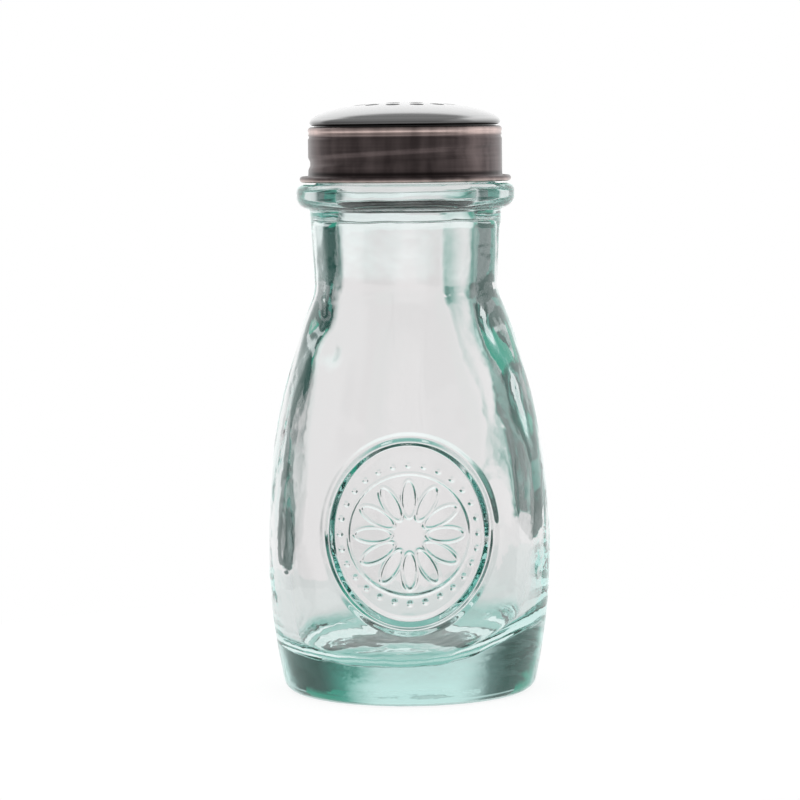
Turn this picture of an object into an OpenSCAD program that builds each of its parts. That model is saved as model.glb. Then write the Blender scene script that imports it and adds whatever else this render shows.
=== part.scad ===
// Glass cheese shaker with a screw-on perforated cap.
// Millimetres. The origin is the centre of the foot on the table, +Z is up,
// and the medallion faces -Y.

/* [Jar] */
// Height of the glass from the table to the rim
jar_h = 127.6; // [122:0.1:140]
// Diameter at the widest part of the belly
belly_d = 65.2; // [60:0.2:72]
// Height of the widest part of the belly
belly_z = 34; // [28:0.5:42]
// How far the foot's edge is set in from the belly
foot_in = 4; // [2:0.1:7]
// Radius that rounds the edge of the foot
heel_r = 3; // [1:0.1:4]
// Width of the flat ring that the jar stands on
foot_ring_w = 4.5; // [3:0.1:8]
// Height of the hollow under the foot
push_up = 3; // [0.6:0.1:4]
// Diameter of the neck at its narrowest
neck_d = 42.1; // [39:0.1:44]
// How much wider the neck is where it meets the bead
neck_flare = 1.8; // [0:0.1:2.4]
// Height of the neck, from the end of the shoulder to the bead
neck_h = 16.9; // [8:0.1:24]
// Radius of the hollow curve between shoulder and neck
shoulder_r = 11; // [8:0.5:20]
// Glass thickness of the belly, shoulder and neck
wall = 4; // [2.5:0.1:5]
// Glass thickness of the floor
floor_t = 9; // [6:0.5:12]
// Radius of the corner between the inside wall and the floor
floor_r = 5; // [4:0.5:10]

/* [Mouth] */
// Diameter of the mouth
mouth_d = 33; // [28:0.5:34]
// Glass thickness round the mouth, under the thread
rim_wall = 3.7; // [3:0.1:5]
// Radius that rounds both edges of the rim
rim_round = 1; // [0.4:0.1:1.4]
// Height of the threaded finish above the bead
finish_h = 11; // [10:0.1:13]
// How far the bead under the cap stands out past the skirt
bead_out = 2.8; // [1.5:0.1:4]
// Height of the bead
bead_h = 5.7; // [4.5:0.1:7]
// Radius that rounds the bead's upper edge
bead_top_r = 1.8; // [0.5:0.1:2.2]
// Radius that rounds the bead's lower edge
bead_low_r = 2.9; // [1:0.1:3]

/* [Thread] */
// Rise of the thread in one turn
lead = 7; // [6:0.1:8]
// Height of the glass thread above the finish
thread_h = 1; // [0.7:0.1:1.4]
// Width of the thread at its root
thread_w = 2.4; // [2:0.1:2.8]
// Width of the thread at its crest
thread_crest_w = 1.2; // [0.8:0.1:1.6]
// Length of the glass thread in turns
thread_turns = 0.9; // [0.6:0.05:0.95]
// Depth from the rim to the middle of the thread's upper end
thread_drop = 2.4; // [2:0.1:3]
// Radial clearance between the cap and the glass thread
thread_gap = 0.5; // [0.3:0.05:0.8]
// Clearance between the flanks of the glass thread and of the rolled one
flank_gap = 0.4; // [0.3:0.05:0.8]
// Length of the rolled thread in turns
roll_turns = 0.65; // [0.4:0.05:0.7]
// Angle over which each end of a thread runs out, in degrees
run_out = 40; // [20:5:60]

/* [Medallion] */
// Width of the raised oval, seen from the front
medal_w = 37.8; // [20:0.2:44]
// Height of the raised oval
medal_h = 43; // [20:0.2:48]
// Height of the oval's centre
medal_z = 39.4; // [34:0.2:46]
// How far the oval's rim stands out of the belly
medal_rim_t = 1.2; // [0.8:0.1:1.6]
// How far the oval's field stands out of the belly
medal_field_t = 0.6; // [0.3:0.1:0.7]
// Width of the oval's rim
medal_rim_w = 2.6; // [1.5:0.1:4]

/* [Screw ring] */
// Thickness of the sheet that the ring is pressed from
ring_sheet = 0.5; // [0.4:0.05:0.8]
// Width of the lip that is turned in over the dome
lip_w = 1.2; // [1:0.05:1.6]
// How far the brim stands out past the skirt
brim_out = 2; // [1:0.1:2.6]
// Height from the brim's underside to the skirt
brim_h = 2; // [1.8:0.1:3]
// Diameter of the hem that is curled round the brim's edge
hem_d = 1.4; // [0.8:0.1:1.6]
// Height of the rounded bead at the top of the skirt
top_bead_h = 1.7; // [1.4:0.1:2.2]
// Radius that rounds the ring's top edge
top_round = 0.8; // [0.4:0.1:1]
// Height of the groove under the top bead
groove_h = 1.2; // [0.8:0.1:1.6]
// Depth of the groove under the top bead
groove_deep = 0.25; // [0.1:0.05:0.35]
// Clearance between the brim and the glass bead
brim_gap = 0.4; // [0.3:0.05:1]

/* [Dome] */
// Thickness of the dome's sheet
dome_sheet = 0.5; // [0.4:0.05:0.6]
// Height of the dome above the ring
dome_h = 5.5; // [4.6:0.1:8]
// How far the dome's edge is set in from the skirt
dome_inset = 0.4; // [0.2:0.05:0.6]
// Radius that turns the dome's lower edge in
dome_curl_r = 0.7; // [0.65:0.05:0.9]
// Height of the crease between the ring and the dome
crease_h = 0.3; // [0.2:0.05:0.6]
// Clearance between the lip and the dome's neck
dome_gap = 0.15; // [0.1:0.05:0.25]
// Diameter of a sprinkling hole
hole_d = 3.2; // [2:0.1:3.8]
// Distance between one circle of holes and the next
hole_pitch = 5.2; // [4.6:0.1:6.5]
// Number of circles of holes round the middle one
hole_rings = 2; // [1:1:2]

/* [Seal] */
// Thickness of the seal
seal_t = 1; // [0.8:0.1:1.6]
// Clearance between the seal and the ring round it
seal_gap = 0.7; // [0.6:0.1:1.2]
// How far the seal's hole stands back from the mouth
seal_back = 0.3; // [0.1:0.1:0.8]

/* [Hidden] */
$fn = 96;

// Angle of the rolled thread's lower end, seen from above
roll_start = 128;
// Sections of a thread in one turn
thread_steps = 36;
// Overshoot of a cutting shape past the face that it cuts
past = 1;
// Steps in a long and in a short arc of an outline
long_arc = 14;
short_arc = 6;

belly_r = belly_d / 2;
neck_r = neck_d / 2;
mouth_r = mouth_d / 2;

// Fit of the cap on the mouth, from the inside out
finish_r = mouth_r + rim_wall;
skirt_in_r = finish_r + thread_h + thread_gap;
skirt_r = skirt_in_r + ring_sheet;
bead_r = skirt_r + bead_out;
brim_r = skirt_r + brim_out;
lip_r = skirt_r - lip_w;
dome_neck_r = lip_r - dome_gap;
dome_flange_r = skirt_in_r - dome_gap;
dome_r = skirt_r - dome_inset;

// Heights, from the bead up
bead_top_z = jar_h - finish_h;
bead_low_z = bead_top_z - bead_h;
shoulder_z = bead_low_z - neck_h;
brim_z = bead_top_z + brim_gap;
skirt_z = brim_z + brim_h;
flange_z = jar_h + seal_t;
lip_z = flange_z + dome_sheet;
ring_top_z = lip_z + ring_sheet;
groove_z = ring_top_z - top_bead_h - groove_h;
crease_z = ring_top_z + crease_h;
dome_edge_z = crease_z + dome_curl_r;
dome_top_z = ring_top_z + dome_h;

// Two arcs make the belly: the lower one runs through the foot's edge, and the
// upper one touches the hollow curve that ends in the neck
low_r = (pow(foot_in, 2) + pow(belly_z, 2)) / (2 * foot_in);
low_x = belly_r - low_r;
shoulder_x = neck_r + shoulder_r;
up_rise = shoulder_z - belly_z;
up_r = (pow(up_rise, 2) + pow(shoulder_x - belly_r, 2) - pow(shoulder_r, 2))
     / (2 * (belly_r - neck_r));
up_x = belly_r - up_r;
up_angle = atan2(up_rise, shoulder_x - up_x);

// A circle of radius r that rests on height z inside the lower belly arc, d in
function corner_x(z, r, d) =
    low_x + sqrt(pow(low_r - d - r, 2) - pow(z + r - belly_z, 2));
function corner_angle(z, r, d) = atan2(z + r - belly_z, corner_x(z, r, d) - low_x);
heel_x = corner_x(0, heel_r, 0);
heel_angle = corner_angle(0, heel_r, 0);
floor_x = corner_x(floor_t, floor_r, wall);
floor_angle = corner_angle(floor_t, floor_r, wall);

// The hollow under the foot is part of a ball
foot_ring_r = heel_x - foot_ring_w;
hollow_r = (pow(foot_ring_r, 2) + pow(push_up, 2)) / (2 * push_up);

// The rolled thread lies under the glass one, a flank clearance below it
flank_slope = (thread_w - thread_crest_w) / 2 / thread_h;
flank_drop = thread_w - flank_slope * (skirt_in_r - finish_r) + flank_gap;
thread_top_z = jar_h - thread_drop;
roll_low_z = skirt_z + thread_w / 2;
thread_top_angle = roll_start + 360 * (thread_top_z - flank_drop - roll_low_z) / lead;
roll_cut_w = thread_w - ring_sheet;
roll_cut_crest_w = thread_crest_w - ring_sheet;

function arc(centre, r, from, to, steps) =
    [for (i = [0 : steps])
        let (a = from + (to - from) * i / steps) centre + r * [cos(a), sin(a)]];

function tail(points) = [for (i = [1 : len(points) - 1]) points[i]];

function reversed(points) = [for (i = [len(points) - 1 : -1 : 0]) points[i]];

// Outline of the belly from one angle to another, at distance d outside it
function belly(d, from, to) = concat(
    arc([low_x, belly_z], low_r + d, from, 0, long_arc),
    tail(arc([up_x, belly_z], up_r + d, 0, to, long_arc)));

jar_outline = concat(
    arc([0, push_up - hollow_r], hollow_r, 90, acos(foot_ring_r / hollow_r), short_arc),
    arc([heel_x, heel_r], heel_r, -90, heel_angle, short_arc),
    tail(belly(0, heel_angle, up_angle)),
    tail(arc([shoulder_x, shoulder_z], shoulder_r, up_angle + 180, 180, short_arc)),
    [[neck_r + neck_flare / 2, bead_low_z]],
    arc([bead_r - bead_low_r, bead_low_z + bead_low_r], bead_low_r, -90, 0, short_arc),
    arc([bead_r - bead_top_r, bead_top_z - bead_top_r], bead_top_r, 0, 90, short_arc),
    [[finish_r, bead_top_z]],
    arc([finish_r - rim_round, jar_h - rim_round], rim_round, 0, 90, short_arc),
    [[0, jar_h]]);

cavity_outline = concat(
    [[0, floor_t]],
    arc([floor_x, floor_t + floor_r], floor_r, -90, floor_angle, short_arc),
    tail(belly(-wall, floor_angle, up_angle)),
    tail(arc([shoulder_x, shoulder_z], shoulder_r + wall, up_angle + 180, 180, short_arc)),
    [[mouth_r, bead_low_z]],
    arc([mouth_r + rim_round, jar_h - rim_round], rim_round, 180, 90, short_arc),
    [[mouth_r + rim_round, jar_h + past], [0, jar_h + past]]);

// One side of the dome's sheet, from the flange up to the middle, d inside the outer side.
// Above its turned-in edge the dome is a quarter of an ellipse.
function dome_side(d) = concat(
    [[dome_neck_r - d, flange_z + dome_sheet - d], [dome_neck_r - d, crease_z + d]],
    arc([dome_r - dome_curl_r, dome_edge_z], dome_curl_r - d, -90, 0, short_arc),
    tail([for (p = arc([0, 0], 1, 0, 90, long_arc))
        [(dome_r - d) * p[0], dome_edge_z + (dome_top_z - dome_edge_z - d) * p[1]]]));

// A thread of trapezoid section along a helix. It stands out of the surface by h,
// outwards for side 1 and inwards for side -1, and is buried in it by deep. Its
// ends sink into the surface over the run-out angle.
module helix(surface_r, side, h, root_w, crest_w, deep, z, angle, turns) {
    steps = ceil(turns * thread_steps);
    sections = [for (i = [0 : steps])
        let (t = i / steps,
             a = angle + 360 * turns * t,
             mid = z + lead * turns * t,
             grown = min(1, min(t, 1 - t) * turns * 360 / run_out),
             crest = surface_r + side * (h * grown - deep / 2 * (1 - grown)),
             root = surface_r - side * deep)
        for (p = [[root, -root_w], [crest, -crest_w], [crest, crest_w], [root, root_w]])
            [p[0] * cos(a), p[0] * sin(a), mid + p[1] / 2]];
    last = 4 * steps;
    sides = [for (i = [0 : steps - 1], j = [0 : 3])
        let (a = 4 * i + j, b = 4 * i + (j + 1) % 4)
        for (f = [[a, a + 4, b + 4], [a, b + 4, b]]) f];
    ends = [[0, 1, 2], [0, 2, 3], [last, last + 2, last + 1], [last, last + 3, last + 2]];
    faces = concat(sides, ends);
    polyhedron(sections, side > 0 ? [for (f = faces) reversed(f)] : faces);
}

// A solid that fills the belly behind the medallion, d past the glass
module belly_block(d) {
    reach = medal_h / 2 + past;
    low = asin((medal_z - reach - belly_z) / (low_r + d));
    high = asin((medal_z + reach - belly_z) / (up_r + d));
    side = belly(d, low, high);
    rotate_extrude()
        polygon(concat([[0, side[0][1]]], side, [[0, side[len(side) - 1][1]]]));
}

// An upright oval column, in by the given width, that runs out of the belly along -Y
module oval(inset) {
    translate([0, 0, medal_z])
        rotate([90, 0, 0])
            linear_extrude(belly_r + medal_rim_t + past)
                scale([medal_w / 2 - inset, medal_h / 2 - inset])
                    circle(1);
}

module medallion() {
    intersection() {
        belly_block(medal_field_t);
        oval(0);
    }
    intersection() {
        belly_block(medal_rim_t);
        difference() {
            oval(0);
            oval(medal_rim_w);
        }
    }
}

// The jar is one piece of moulded glass: foot, belly, medallion, neck, bead and thread
module glass_jar() color([0.72, 0.9, 0.86, 0.5]) {
    difference() {
        union() {
            rotate_extrude() polygon(jar_outline);
            medallion();
            helix(finish_r, 1, thread_h, thread_w, thread_crest_w, rim_wall / 2,
                  thread_top_z - lead * thread_turns,
                  thread_top_angle - 360 * thread_turns, thread_turns);
        }
        rotate_extrude() polygon(cavity_outline);
    }
}

// One side of the skirt at radius r, where it runs in and out of the groove under the top bead
function groove_side(r) = [
    [r, groove_z], [r - groove_deep, groove_z + groove_h / 3],
    [r - groove_deep, groove_z + 2 * groove_h / 3], [r, groove_z + groove_h]];

// The ring is pressed sheet: a turned-in lip, a rounded bead, a skirt with one rolled
// thread, and a flared brim with a curled hem
module screw_ring() color([0.27, 0.24, 0.24]) {
    hem_r = hem_d / 2;
    outline = concat(
        arc([brim_r - hem_r, brim_z + hem_r], hem_r, -135, 90, short_arc),
        [[skirt_r, skirt_z]],
        groove_side(skirt_r),
        arc([skirt_r - top_round, ring_top_z - top_round], top_round, 0, 90, short_arc),
        [[lip_r, ring_top_z], [lip_r, lip_z], [skirt_in_r, lip_z]],
        reversed(groove_side(skirt_in_r)),
        [[skirt_in_r, skirt_z - ring_sheet / 2], [brim_r - hem_d, brim_z + hem_r / 2]]);
    difference() {
        union() {
            rotate_extrude() polygon(outline);
            helix(skirt_in_r, -1, thread_h, thread_w, thread_crest_w, ring_sheet / 2,
                  roll_low_z, roll_start, roll_turns);
        }
        helix(skirt_r, -1, thread_h, roll_cut_w, roll_cut_crest_w, ring_sheet,
              roll_low_z, roll_start, roll_turns);
    }
}

// The dome is pressed sheet, held by its flange under the ring's lip, with the holes
// in circles round the middle one
module shaker_dome() color([0.62, 0.63, 0.63]) {
    difference() {
        rotate_extrude()
            polygon(concat(
                [[dome_flange_r, flange_z], [dome_flange_r, flange_z + dome_sheet]],
                dome_side(0),
                reversed(dome_side(dome_sheet))));
        for (ring = [0 : hole_rings], i = [0 : max(6 * ring, 1) - 1])
            rotate(360 / max(6 * ring, 1) * (i + (ring % 2 == 0 ? 0.5 : 0)))
                translate([ring * hole_pitch, 0, crease_z])
                    cylinder(d = hole_d, h = dome_h + past);
    }
}

// The seal is a flat washer between the rim and the dome's flange
module seal_ring() color([0.9, 0.9, 0.87]) {
    translate([0, 0, jar_h])
        difference() {
            cylinder(r = skirt_in_r - seal_gap, h = seal_t);
            translate([0, 0, -past])
                cylinder(r = mouth_r + seal_back, h = seal_t + 2 * past);
        }
}

glass_jar();
screw_ring();
shaker_dome();
seal_ring();
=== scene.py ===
"""Glass cheese shaker with a screw-on perforated cap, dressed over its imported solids.

Sizes in the classes are in millimetres and angles in degrees. Every mesh is made in metres, in
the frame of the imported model: +Z up, the medallion towards -Y, the foot on the plane z = 0.
"""

from __future__ import annotations

import logging
import math
from collections.abc import Callable
from dataclasses import dataclass
from enum import Enum

import bpy
from mathutils import Matrix, Vector, noise

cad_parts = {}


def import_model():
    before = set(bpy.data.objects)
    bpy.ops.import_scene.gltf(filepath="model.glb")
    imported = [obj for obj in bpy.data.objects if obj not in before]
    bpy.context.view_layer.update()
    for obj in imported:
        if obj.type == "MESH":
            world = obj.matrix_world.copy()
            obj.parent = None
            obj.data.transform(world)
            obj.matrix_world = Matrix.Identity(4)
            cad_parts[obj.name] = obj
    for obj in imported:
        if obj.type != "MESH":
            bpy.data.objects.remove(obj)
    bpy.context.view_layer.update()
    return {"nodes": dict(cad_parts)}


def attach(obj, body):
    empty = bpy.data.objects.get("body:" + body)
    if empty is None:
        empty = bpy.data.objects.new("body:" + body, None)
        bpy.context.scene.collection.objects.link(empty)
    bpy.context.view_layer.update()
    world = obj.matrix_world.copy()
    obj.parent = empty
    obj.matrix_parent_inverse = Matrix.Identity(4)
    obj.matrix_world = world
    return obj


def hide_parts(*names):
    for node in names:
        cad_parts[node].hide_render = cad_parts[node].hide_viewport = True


MM = 0.001
DEGREE = math.radians(1)
TURN = 2 * math.pi
TINY = 1e-6
ZONE = "zone"
WHITE = (1.0, 1.0, 1.0, 1.0)
FADE_OUT = {"To Min": 1.0, "To Max": 0.0}

# Kinds of node that are used often
MATH = "ShaderNodeMath"
VECTOR_MATH = "ShaderNodeVectorMath"
RANGE = "ShaderNodeMapRange"
MIX = "ShaderNodeMix"
NOISE = "ShaderNodeTexNoise"
SPLIT = "ShaderNodeSeparateXYZ"
COMBINE = "ShaderNodeCombineXYZ"
PRINCIPLED = "ShaderNodeBsdfPrincipled"
CIRCLE = "GeometryNodeCurvePrimitiveCircle"
CURVE_TO_MESH = "GeometryNodeCurveToMesh"
NEAREST = "GeometryNodeProximity"
TRANSFORM = "GeometryNodeTransform"
SET_ON_POINTS = "GeometryNodeInstanceOnPoints"
MOVE = "GeometryNodeSetPosition"
REALIZE = "GeometryNodeRealizeInstances"
JOIN = "GeometryNodeJoinGeometry"

Point = tuple[float, float]
Colour = tuple[float, float, float, float]
Inputs = dict[int | str, object]
Socket = bpy.types.NodeSocket
Material = bpy.types.Material
Piece = bpy.types.Object
log = logging.getLogger("shaker")


class Zone(Enum):
    """Parts of a surface that a Geometry Nodes tree picks out."""

    PLAIN = 0
    BELLY = 1
    MEDALLION = 2
    THREAD = 3
    INSIDE = 4


@dataclass(frozen=True)
class Row:
    """One ring of an outline that is spun about the upright axis."""

    r: float
    z: float
    zone: Zone = Zone.PLAIN


@dataclass(frozen=True)
class Span:
    """A stretch from one value to another."""

    low: float
    high: float

    def share(self, value: float) -> float:
        """Ease from 0 at the low end to 1 at the high end."""
        t = min(1.0, max(0.0, (value - self.low) / (self.high - self.low)))
        return t * t * (3 - 2 * t)

    def reads(self, unit: float = 1.0) -> Inputs:
        """Inputs of a Map Range node that reads over this stretch."""
        return {"From Min": self.low * unit, "From Max": self.high * unit}

    def gives(self) -> Inputs:
        """Inputs of a Map Range node that gives this stretch."""
        return {"To Min": self.low, "To Max": self.high}


@dataclass(frozen=True)
class Lump:
    """A thick spot in a glass wall: its angle, height, reach and rise."""

    angle: float
    z: float
    reach: float
    rise: float


def linear(hex_colour: str) -> Colour:
    """Turn an sRGB hex colour into a linear one.

    Args:
        hex_colour: Colour as #rrggbb.

    Returns:
        Red, green and blue in linear light, and full alpha.
    """
    shares = [int(hex_colour[i : i + 2], 16) / 255 for i in (1, 3, 5)]
    lit = [s / 12.92 if s <= 0.04045 else ((s + 0.055) / 1.055) ** 2.4 for s in shares]
    return lit[0], lit[1], lit[2], 1.0


def grey(level: float) -> Colour:
    """A neutral linear colour."""
    return level, level, level, 1.0


def arc(centre: Point, radius: float, start: float, end: float, steps: int) -> list[Point]:
    """Points on part of a circle.

    Args:
        centre: Middle of the circle.
        radius: Its radius.
        start: First angle.
        end: Last angle.
        steps: Number of steps from the first point to the last.

    Returns:
        The points in order, both ends included.
    """
    angles = [math.radians(start + (end - start) * i / steps) for i in range(steps + 1)]
    return [(centre[0] + radius * math.cos(a), centre[1] + radius * math.sin(a)) for a in angles]


def line(start: Point, end: Point, steps: int) -> list[Point]:
    """Points on a straight line, the start left out.

    Args:
        start: Where the line begins.
        end: Where it ends.
        steps: Number of points.

    Returns:
        The points in order, the end included.
    """
    shares = [(i + 1) / steps for i in range(steps)]
    return [(start[0] + (end[0] - start[0]) * t, start[1] + (end[1] - start[1]) * t) for t in shares]


class Nodes:
    """A node tree in the making."""

    def __init__(self, tree: bpy.types.NodeTree) -> None:
        """Take a tree and empty it."""
        self.tree = tree
        tree.nodes.clear()

    def add(self, kind: str, inputs: Inputs | None = None, **settings: object) -> bpy.types.Node:
        """Add a node, set it up and link it.

        Args:
            kind: Blender's name of the kind of node.
            inputs: Value for each input by name or place; a socket is linked, a list links several.
            settings: The node's own properties.

        Returns:
            The new node.
        """
        node = self.tree.nodes.new(kind)
        for name, value in settings.items():
            setattr(node, name, value)
        for key, value in (inputs or {}).items():
            for one in value if isinstance(value, list) else [value]:
                if isinstance(one, Socket):
                    self.tree.links.new(one, node.inputs[key])
                else:
                    node.inputs[key].default_value = one
        return node

    def out(
        self, kind: str, inputs: Inputs | None = None, pick: int | str = 0, **settings: object
    ) -> Socket:
        """Add a node and give one of its outputs.

        Args:
            kind: Blender's name of the kind of node.
            inputs: Values and links of its inputs.
            pick: Which output.
            settings: The node's own properties.

        Returns:
            The output socket.
        """
        return self.add(kind, inputs, **settings).outputs[pick]


class Tree(Nodes):
    """A Geometry Nodes tree with named inputs, run once on a piece."""

    def __init__(self, name: str, values: dict[str, float | int]) -> None:
        """Start the tree.

        Args:
            name: Name of the tree.
            values: Named inputs and what they are set to.
        """
        super().__init__(bpy.data.node_groups.new(name, "GeometryNodeTree"))
        self.values = values
        face = self.tree.interface
        for way in ("OUTPUT", "INPUT"):
            face.new_socket("Geometry", in_out=way, socket_type="NodeSocketGeometry")
        for key, value in values.items():
            kind = "NodeSocketInt" if isinstance(value, int) else "NodeSocketFloat"
            face.new_socket(key, in_out="INPUT", socket_type=kind)
        self.size = self.add("NodeGroupInput").outputs

    def in_zone(self, zone: Zone) -> Socket:
        """Field that is true on one zone of the surface."""
        mark = self.out("GeometryNodeInputNamedAttribute", {"Name": ZONE}, data_type="INT")
        return self.out("FunctionNodeCompare", {2: mark, 3: zone.value}, data_type="INT", operation="EQUAL")

    def shift(self, zone: Zone, offset: Socket) -> Socket:
        """Move one zone of the surface by a field."""
        picked = {"Geometry": self.size["Geometry"], "Selection": self.in_zone(zone)}
        return self.out(MOVE, {**picked, "Offset": offset})

    def run(self, piece: Piece, geometry: Socket, finish: Material) -> None:
        """Close the tree, run it on the piece and keep the result as a plain mesh.

        Args:
            piece: Object that the tree works on.
            geometry: Last socket of the tree's own work.
            finish: Material of the result.
        """
        real = self.out(REALIZE, {"Geometry": geometry})
        dressed = self.out("GeometryNodeSetMaterial", {"Geometry": real, "Material": finish})
        self.add("NodeGroupOutput", {0: dressed})
        modifier = piece.modifiers.new(self.tree.name, "NODES")
        modifier.node_group = self.tree
        for item in self.tree.interface.items_tree:
            if item.in_out == "INPUT" and item.name in self.values:
                modifier[item.identifier] = self.values[item.name]
        graph = bpy.context.evaluated_depsgraph_get()
        made = bpy.data.meshes.new_from_object(piece.evaluated_get(graph), depsgraph=graph)
        piece.modifiers.remove(modifier)
        piece.data = made


class Spin:
    """A mesh in the making: rows spun about the upright axis, and patches set into it."""

    def __init__(self, rows: list[Row], segments: int, first_angle: float, closed: bool) -> None:
        """Spin the rows.

        Args:
            rows: Outline, with the material to the left on the way along it.
            segments: Steps round the axis.
            first_angle: Angle of the first segment.
            closed: True if the last row joins the first one.
        """
        self.points: list[tuple[float, float, float]] = []
        self.zones: list[int] = []
        self.faces: list[tuple[int, ...]] = []
        self.rings: list[list[int]] = []
        turn = [math.radians(first_angle) + TURN * j / segments for j in range(segments)]
        for row in rows:
            angles = turn if row.r else [0.0]
            self.rings.append(
                [self.add(row.r * math.cos(a), row.r * math.sin(a), row.z, row.zone) for a in angles]
            )
        pairs = list(zip(self.rings, self.rings[1:]))
        if closed:
            pairs.append((self.rings[-1], self.rings[0]))
        for low, high in pairs:
            self.bridge(low, high)

    def add(self, x: float, y: float, z: float, zone: Zone) -> int:
        """Add a point.

        Args:
            x: Across.
            y: Along the view.
            z: Up.
            zone: Part of the surface that it is on.

        Returns:
            The point's number.
        """
        self.points.append((x, y, z))
        self.zones.append(zone.value)
        return len(self.points) - 1

    def bridge(self, low: list[int], high: list[int]) -> None:
        """Join two rings, either of which may be a single point.

        Args:
            low: Ring that comes first on the outline.
            high: Ring that comes next.
        """
        count = max(len(low), len(high))
        if count == 1:
            return
        for j in range(count):
            k = (j + 1) % count
            quad = (low[j % len(low)], low[k % len(low)], high[k % len(high)], high[j % len(high)])
            self.faces.append(tuple(dict.fromkeys(quad)))

    def bridge_double(self, low: list[int], high: list[int]) -> None:
        """Join a ring to one with twice as many points, by faces with five corners.

        Args:
            low: Ring that comes first.
            high: Ring with twice its points.
        """
        for j in range(len(low)):
            k = (j + 1) % len(low)
            self.faces.append((low[j], low[k], high[2 * k], high[2 * j + 1], high[2 * j]))

    def piece(self, name: str, sharp: float) -> Piece:
        """Make the object.

        Args:
            name: Name of the piece.
            sharp: Angle above which an edge stays sharp.

        Returns:
            The object, at the origin.
        """
        used = sorted({i for f in self.faces for i in f})
        place = {old: new for new, old in enumerate(used)}
        points = [[c * MM for c in self.points[i]] for i in used]
        mesh = bpy.data.meshes.new(name)
        mesh.from_pydata(points, [], [[place[i] for i in f] for f in self.faces])
        mesh.attributes.new(ZONE, "INT", "POINT").data.foreach_set("value", [self.zones[i] for i in used])
        made = bpy.data.objects.new(name, mesh)
        bpy.context.scene.collection.objects.link(made)
        shade(made, sharp)
        return made


def shade(piece: Piece, sharp: float) -> None:
    """Shade a piece smooth, with sharp edges above an angle."""
    piece.data.shade_smooth()
    piece.data.set_sharp_from_angle(angle=math.radians(sharp))


@dataclass(frozen=True)
class Thread:
    """A thread of less than one turn, which stands out by its rise or is rolled in where that is below 0.

    The start is the angle of its lower end, and the run-out is the share of a turn over which each
    end fades.
    """

    lead: float
    rise: float
    root_w: float
    crest_w: float
    low_z: float
    start: float
    turns: float
    run_out: float = 40 / 360

    def roll(self, piece: Piece, finish: Material) -> None:
        """Move the thread zone of a spun piece in or out along the helix.

        Args:
            piece: Object with a thread zone.
            finish: Its material.
        """
        sizes = {
            "Lead": self.lead * MM,
            "Rise": self.rise * MM,
            "Half root": self.root_w / 2 * MM,
            "Half crest": self.crest_w / 2 * MM,
            "Low height": self.low_z * MM,
            "Start angle": math.radians(self.start),
            "Turns": self.turns,
            "Run-out": self.run_out,
        }
        tree = Tree("helical_thread", sizes)
        size = tree.size
        across = tree.add(SPLIT, {0: tree.out("GeometryNodeInputPosition")}).outputs
        angle = tree.out(MATH, {0: across["Y"], 1: across["X"]}, operation="ARCTAN2")
        past = tree.out(MATH, {0: angle, 1: size["Start angle"]}, operation="SUBTRACT")
        wound = tree.out(MATH, {0: past, 1: TURN}, operation="FLOORED_MODULO")
        along = tree.out(MATH, {0: wound, 1: TURN}, operation="DIVIDE")
        middle = tree.out(MATH, {0: along, 1: size["Lead"], 2: size["Low height"]}, operation="MULTIPLY_ADD")
        off = tree.out(MATH, {0: across["Z"], 1: middle}, operation="SUBTRACT")
        away = tree.out(MATH, {0: off}, operation="ABSOLUTE")
        flank = {"From Min": size["Half crest"], "From Max": size["Half root"], **FADE_OUT}
        shape = tree.out(RANGE, {"Value": away, **flank}, interpolation_type="SMOOTHSTEP")
        left = tree.out(MATH, {0: size["Turns"], 1: along}, operation="SUBTRACT")
        for end in (along, left):
            fade = {"Value": end, "From Max": size["Run-out"]}
            grown = tree.out(RANGE, fade, interpolation_type="SMOOTHSTEP")
            shape = tree.out(MATH, {0: shape, 1: grown}, operation="MULTIPLY")
        amount = tree.out(MATH, {0: shape, 1: size["Rise"]}, operation="MULTIPLY")
        flat = tree.out(COMBINE, {"X": across["X"], "Y": across["Y"]})
        outward = tree.out(VECTOR_MATH, {0: flat}, operation="NORMALIZE")
        offset = tree.out(VECTOR_MATH, {0: outward, "Scale": amount}, operation="SCALE")
        tree.run(piece, tree.shift(Zone.THREAD, offset), finish)


@dataclass(frozen=True)
class Band:
    """A level band of painted highlight or painted shade: its middle height, half height and colour."""

    z: float
    reach: float
    colour: str

    def paint(self, nodes: Nodes, place: Socket, colour: Socket, share: Socket | float) -> Socket:
        """Mix the band into a finish.

        Args:
            nodes: The finish's nodes.
            place: Object coordinates.
            colour: Colour so far.
            share: How much of the band shows, as a number or a pattern.

        Returns:
            The colour with the band.
        """
        height = nodes.out(SPLIT, {0: place}, "Z")
        rise = nodes.out(MATH, {0: height, 1: self.z * MM}, operation="SUBTRACT")
        away = nodes.out(MATH, {0: rise}, operation="ABSOLUTE")
        fade = {"From Max": self.reach * MM, **FADE_OUT}
        near = nodes.out(RANGE, {"Value": away, **fade}, interpolation_type="SMOOTHSTEP")
        seen = nodes.out(MATH, {0: near, 1: share}, operation="MULTIPLY")
        mixed = {"Factor": seen, "A": colour, "B": linear(self.colour)}
        return nodes.out(MIX, mixed, "Result", data_type="RGBA")


@dataclass(frozen=True)
class Finish:
    """A finish that makes its own node material."""

    name: str

    def make(self) -> Material:
        """Build the material.

        Returns:
            The material, named for the finish.
        """
        material = bpy.data.materials.new(self.name)
        material.use_nodes = True
        nodes = Nodes(material.node_tree)
        place = nodes.out("ShaderNodeTexCoord", pick="Object")
        nodes.add("ShaderNodeOutputMaterial", self.shaders(nodes, place))
        return material

    def shaders(self, nodes: Nodes, place: Socket) -> Inputs:
        """Make the shaders, in each finish's own way.

        Args:
            nodes: The material's nodes.
            place: Object coordinates.

        Returns:
            A shader for each input of the material's output that is used.
        """
        raise NotImplementedError


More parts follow.
